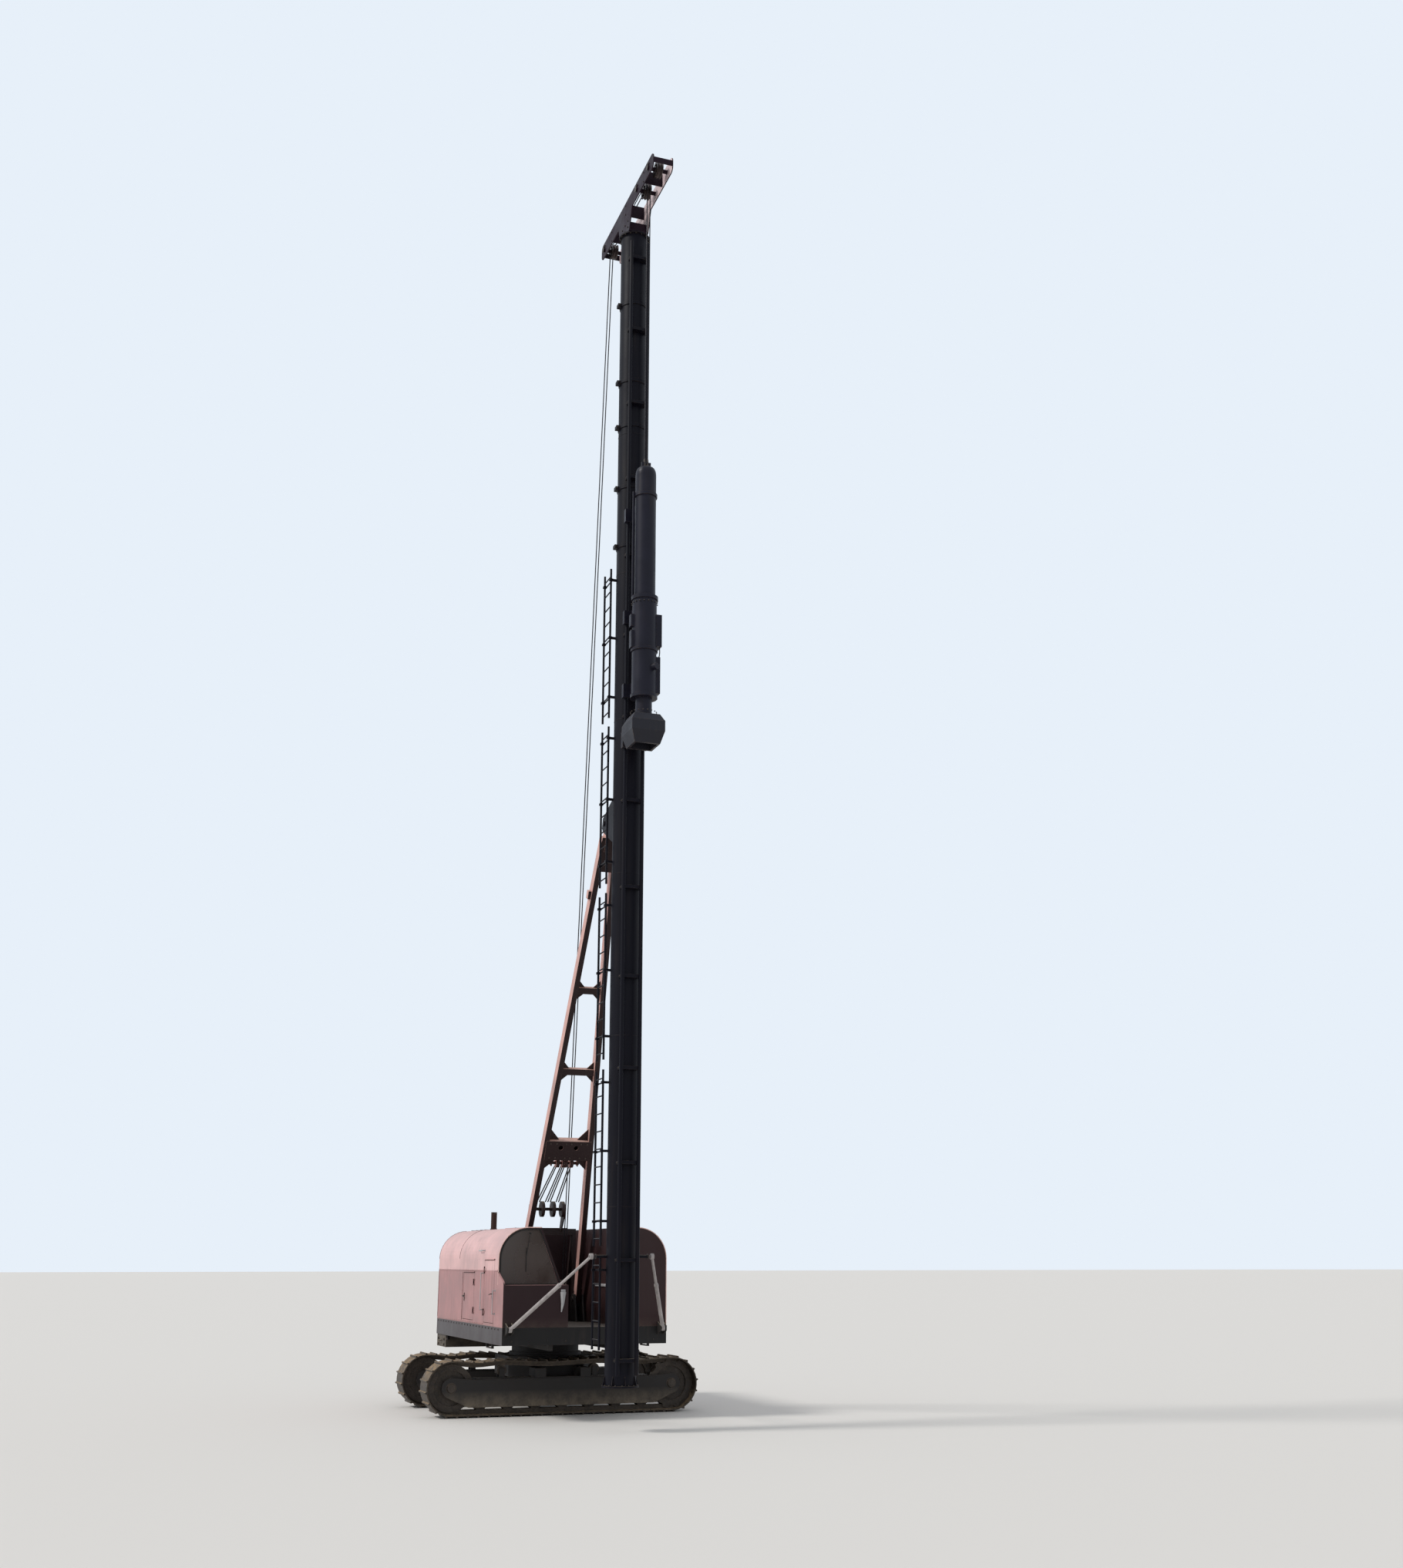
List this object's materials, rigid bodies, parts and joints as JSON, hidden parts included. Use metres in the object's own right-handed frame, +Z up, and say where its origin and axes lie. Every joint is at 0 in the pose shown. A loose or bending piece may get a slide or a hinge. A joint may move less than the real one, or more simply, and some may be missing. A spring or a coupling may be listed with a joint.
{
  "type": "crawler pile driver rig with hanging leader and diesel hammer",
  "caption": "Crawler machine with a slewing upper, A-frame boom and hanging tubular leader that guides a diesel hammer and drive cap to drive piles.",
  "frame": {"origin": "on the ground under the middle of the whole rig's box", "axes": "+X forward to the leader, +Y to the machine's left, +Z up along the leader"},
  "size_m": [9.59, 5.194, 23.335],
  "materials": {
    "frame_dark": "dark painted steel with dust",
    "machined": "machined ring",
    "track_steel": "bare muddy steel",
    "deck_grey": "grey paint",
    "cast_weight": "dark paint on iron",
    "engine_block": null,
    "pink_panel": null,
    "pink_steel": "pale pink paint on steel",
    "cab_glass": "dusty window glass",
    "seat_cover": "worn black seat cover",
    "winch_steel": "greasy steel",
    "dark_red": "dark red paint",
    "rusty_steel": "burnt rusty steel",
    "wire_rope": "greased wire rope",
    "strut_grey": "pale grey paint",
    "leader_navy": "near-black navy paint",
    "head_purple": "dark brown-purple paint",
    "sheave_iron": "greased iron",
    "hammer_black": "oily near-black paint",
    "cap_iron": "dark worn iron"
  },
  "bodies": {
    "undercarriage": {"car_body": "frame_dark", "slew_ring": "machined", "track_frame_front": "frame_dark", "track_frame_rear": "frame_dark", "track_front": "track_steel", "track_rear": "track_steel", "track_wheels_front": "track_steel", "track_wheels_rear": "track_steel"},
    "upper": {"deck": "deck_grey", "deck_frame": "frame_dark", "boom_forks": "frame_dark", "strut_forks": "frame_dark", "counterweight": "cast_weight", "engine": "engine_block", "house_right": "pink_panel", "house_left": "pink_panel", "house_roof": "pink_panel", "house_rear": "pink_panel", "left_wing": "pink_panel", "cab": "pink_panel", "cab_glass": "cab_glass", "operator_seat": "seat_cover", "winch_frame": "frame_dark", "gantry": "dark_red", "exhaust": "rusty_steel"},
    "cab_door": {"cab_door": "pink_panel"},
    "side_door_right": {"side_door_right": "pink_panel"},
    "side_door_left": {"side_door_left": "pink_panel"},
    "drum_right": {"drum_right": "winch_steel"},
    "drum_left": {"drum_left": "winch_steel"},
    "boom": {"boom": "pink_steel", "boom_ropes": "wire_rope"},
    "strut_tube_right": {"strut_tube_right": "strut_grey"},
    "strut_tube_left": {"strut_tube_left": "strut_grey"},
    "strut_rod_right": {"strut_rod_right": "strut_grey"},
    "strut_rod_left": {"strut_rod_left": "strut_grey"},
    "leader": {"mast": "leader_navy", "guide_rails": "leader_navy", "ladder": "leader_navy", "head_frame": "head_purple"},
    "sheave_front": {"sheave_front": "sheave_iron"},
    "sheave_middle": {"sheave_middle": "sheave_iron"},
    "sheave_rear": {"sheave_rear": "sheave_iron"},
    "hammer": {"hammer": "hammer_black", "hammer_fittings": "hammer_black"},
    "drive_cap": {"drive_cap": "cap_iron", "cap_guide": "cap_iron"}
  },
  "joints": [
    {"name": "slew", "type": "hinge", "parent": "undercarriage", "child": "upper", "pos_m": [-1.845, 0, 0], "axis": [0, 0, 1], "continuous": true},
    {"name": "boom_luff", "type": "hinge", "parent": "upper", "child": "boom", "pos_m": [-1.845, 0, 2], "axis": [0, 1, 0], "range_deg": [-6, 8]},
    {"name": "leader_rake", "type": "hinge", "parent": "boom", "child": "leader", "pos_m": [2.005, 0, 10.6], "axis": [0, -1, 0], "range_deg": [-8, 8]},
    {"name": "hammer_travel", "type": "slide", "parent": "leader", "child": "hammer", "axis": [0, 0, 1], "range_m": [-10.2, 4.4]},
    {"name": "cap_travel", "type": "slide", "parent": "hammer", "child": "drive_cap", "axis": [0, 0, 1], "range_m": [-0.25, 0]},
    {"name": "sheave_front_turn", "type": "hinge", "parent": "leader", "child": "sheave_front", "pos_m": [4.485, 0, 23.1675], "axis": [0, 1, 0], "continuous": true},
    {"name": "sheave_middle_turn", "type": "hinge", "parent": "leader", "child": "sheave_middle", "pos_m": [3.757, 0, 23.1675], "axis": [0, 1, 0], "continuous": true},
    {"name": "sheave_rear_turn", "type": "hinge", "parent": "leader", "child": "sheave_rear", "pos_m": [1.555, 0, 23.1675], "axis": [0, 1, 0], "continuous": true},
    {"name": "drum_right_turn", "type": "hinge", "parent": "upper", "child": "drum_right", "pos_m": [-2.325, 0, 2.06], "axis": [0, 1, 0], "continuous": true},
    {"name": "drum_left_turn", "type": "hinge", "parent": "upper", "child": "drum_left", "pos_m": [-2.325, 0, 2.06], "axis": [0, 1, 0], "continuous": true},
    {"name": "strut_swing_right", "type": "hinge", "parent": "upper", "child": "strut_tube_right", "pos_m": [1.035, -1.415, 1.55], "axis": [0, 1, 0], "range_deg": [-8, 8]},
    {"name": "strut_length_right", "type": "slide", "parent": "strut_tube_right", "child": "strut_rod_right", "axis": [0.7922, 0.3519, 0.4986], "range_m": [-0.3, 0.3]},
    {"name": "strut_swing_left", "type": "hinge", "parent": "upper", "child": "strut_tube_left", "pos_m": [1.035, 1.415, 1.55], "axis": [0, 1, 0], "range_deg": [-8, 8]},
    {"name": "strut_length_left", "type": "slide", "parent": "strut_tube_left", "child": "strut_rod_left", "axis": [0.7922, -0.3519, 0.4986], "range_m": [-0.3, 0.3]},
    {"name": "cab_door_swing", "type": "hinge", "parent": "upper", "child": "cab_door", "pos_m": [-0.587, -1.539, 0], "axis": [0, 0, -1], "range_deg": [0, 100]},
    {"name": "side_door_right_swing", "type": "hinge", "parent": "upper", "child": "side_door_right", "pos_m": [-1.453, -1.539, 0], "axis": [0, 0, 1], "range_deg": [0, 110]},
    {"name": "side_door_left_swing", "type": "hinge", "parent": "upper", "child": "side_door_left", "pos_m": [-3.353, 1.539, 0], "axis": [0, 0, -1], "range_deg": [0, 110]}
  ]
}
